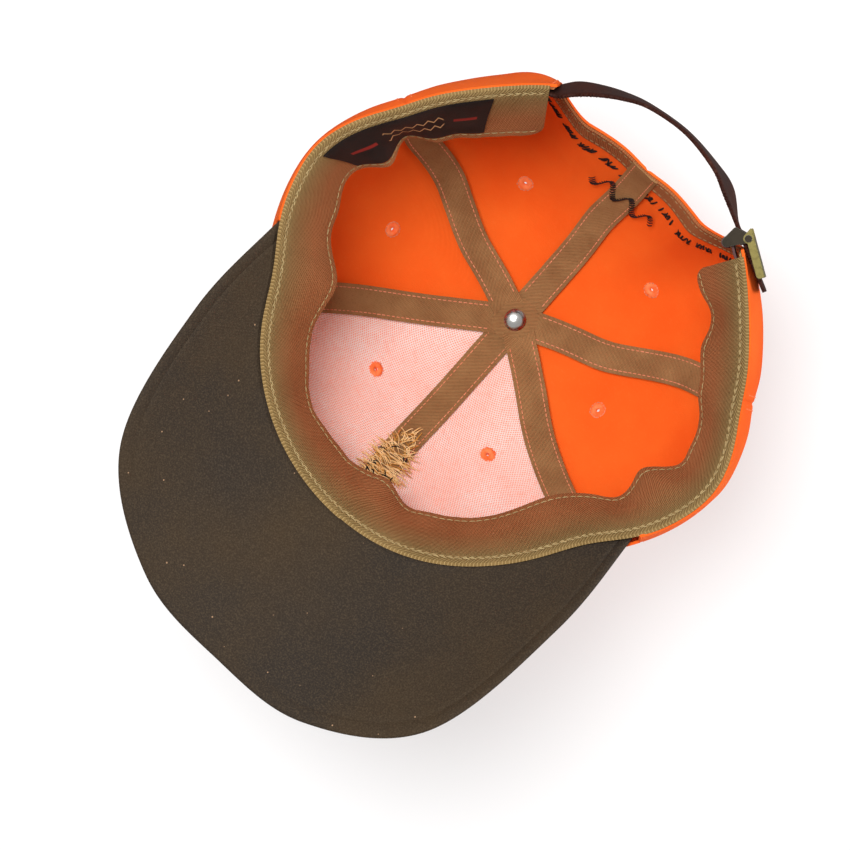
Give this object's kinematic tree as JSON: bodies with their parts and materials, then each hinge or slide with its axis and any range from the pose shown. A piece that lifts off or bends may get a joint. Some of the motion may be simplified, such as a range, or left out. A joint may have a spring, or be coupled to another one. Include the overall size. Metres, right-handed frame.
{
  "type": "six-panel cap with buckle strap",
  "caption": "Six-panel fabric cap with a curved visor, lined seams, a sweatband and a half-moon back opening closed by a leather strap and a flip buckle",
  "frame": {"origin": "Centre of the head opening, on the plane of the crown's rim, where a head enters.", "axes": "+Z to the crown's top, -Y to the visor, +X to the wearer's left. The object is longest along Y and shortest along Z."},
  "size_m": [0.2036, 0.2652, 0.1435],
  "materials": {
    "orange_fabric": "matte plain weave",
    "orange_thread": "satin thread",
    "buckram_cloth": "open weave, stiffened",
    "khaki_tape": "twill tape",
    "khaki_twill": "diagonal twill",
    "label_satin": "woven satin",
    "waxed_cotton": "dull waxed",
    "stiffener": "plain board",
    "bright_metal": "polished",
    "antique_brass": "aged, satin",
    "strap_leather": "smooth face, rough edges",
    "gold_thread": "satin thread",
    "black_thread": "satin thread"
  },
  "bodies": {
    "cap": {"back_embroidery": "black_thread", "back_opening_binding": "khaki_tape", "back_panel_left": "orange_fabric", "back_panel_right": "orange_fabric", "buckle_frame": "antique_brass", "buckle_pin": "antique_brass", "buckle_tab": "strap_leather", "buckram_left": "buckram_cloth", "buckram_right": "buckram_cloth", "crown_button_cover": "orange_fabric", "crown_button_rivet": "bright_metal", "crown_button_shell": "bright_metal", "eyelet_back_left": "orange_thread", "eyelet_back_right": "orange_thread", "eyelet_front_left": "orange_thread", "eyelet_front_right": "orange_thread", "eyelet_side_left": "orange_thread", "eyelet_side_right": "orange_thread", "front_embroidery": "gold_thread", "front_panel_left": "orange_fabric", "front_panel_right": "orange_fabric", "seam_tape_back_right": "khaki_tape", "seam_tape_centre_back": "khaki_tape", "seam_tape_centre_front": "khaki_tape", "seam_tape_front_left": "khaki_tape", "seam_tape_long": "khaki_tape", "side_panel_left": "orange_fabric", "side_panel_right": "orange_fabric", "strap_band": "strap_leather", "sweatband": "khaki_twill", "sweatband_label": "label_satin", "visor_board": "stiffener", "visor_top_cover": "waxed_cotton", "visor_under_cover": "waxed_cotton"},
    "buckle_lever": {"buckle_lever": "antique_brass"},
    "strap_tail": {"strap_tail": "strap_leather"}
  },
  "joints": [
    {"name": "lever_flip", "type": "hinge", "parent": "cap", "child": "buckle_lever", "pos_m": [-0.04577, 0.08122, 0.0093], "axis": [0.0623, -0.0945, -0.9936], "range_deg": [0, 95]},
    {"name": "strap_slide", "type": "slide", "parent": "cap", "child": "strap_tail", "axis": [-0.8957, -0.4446, 0], "range_m": [0, 0.008]}
  ]
}
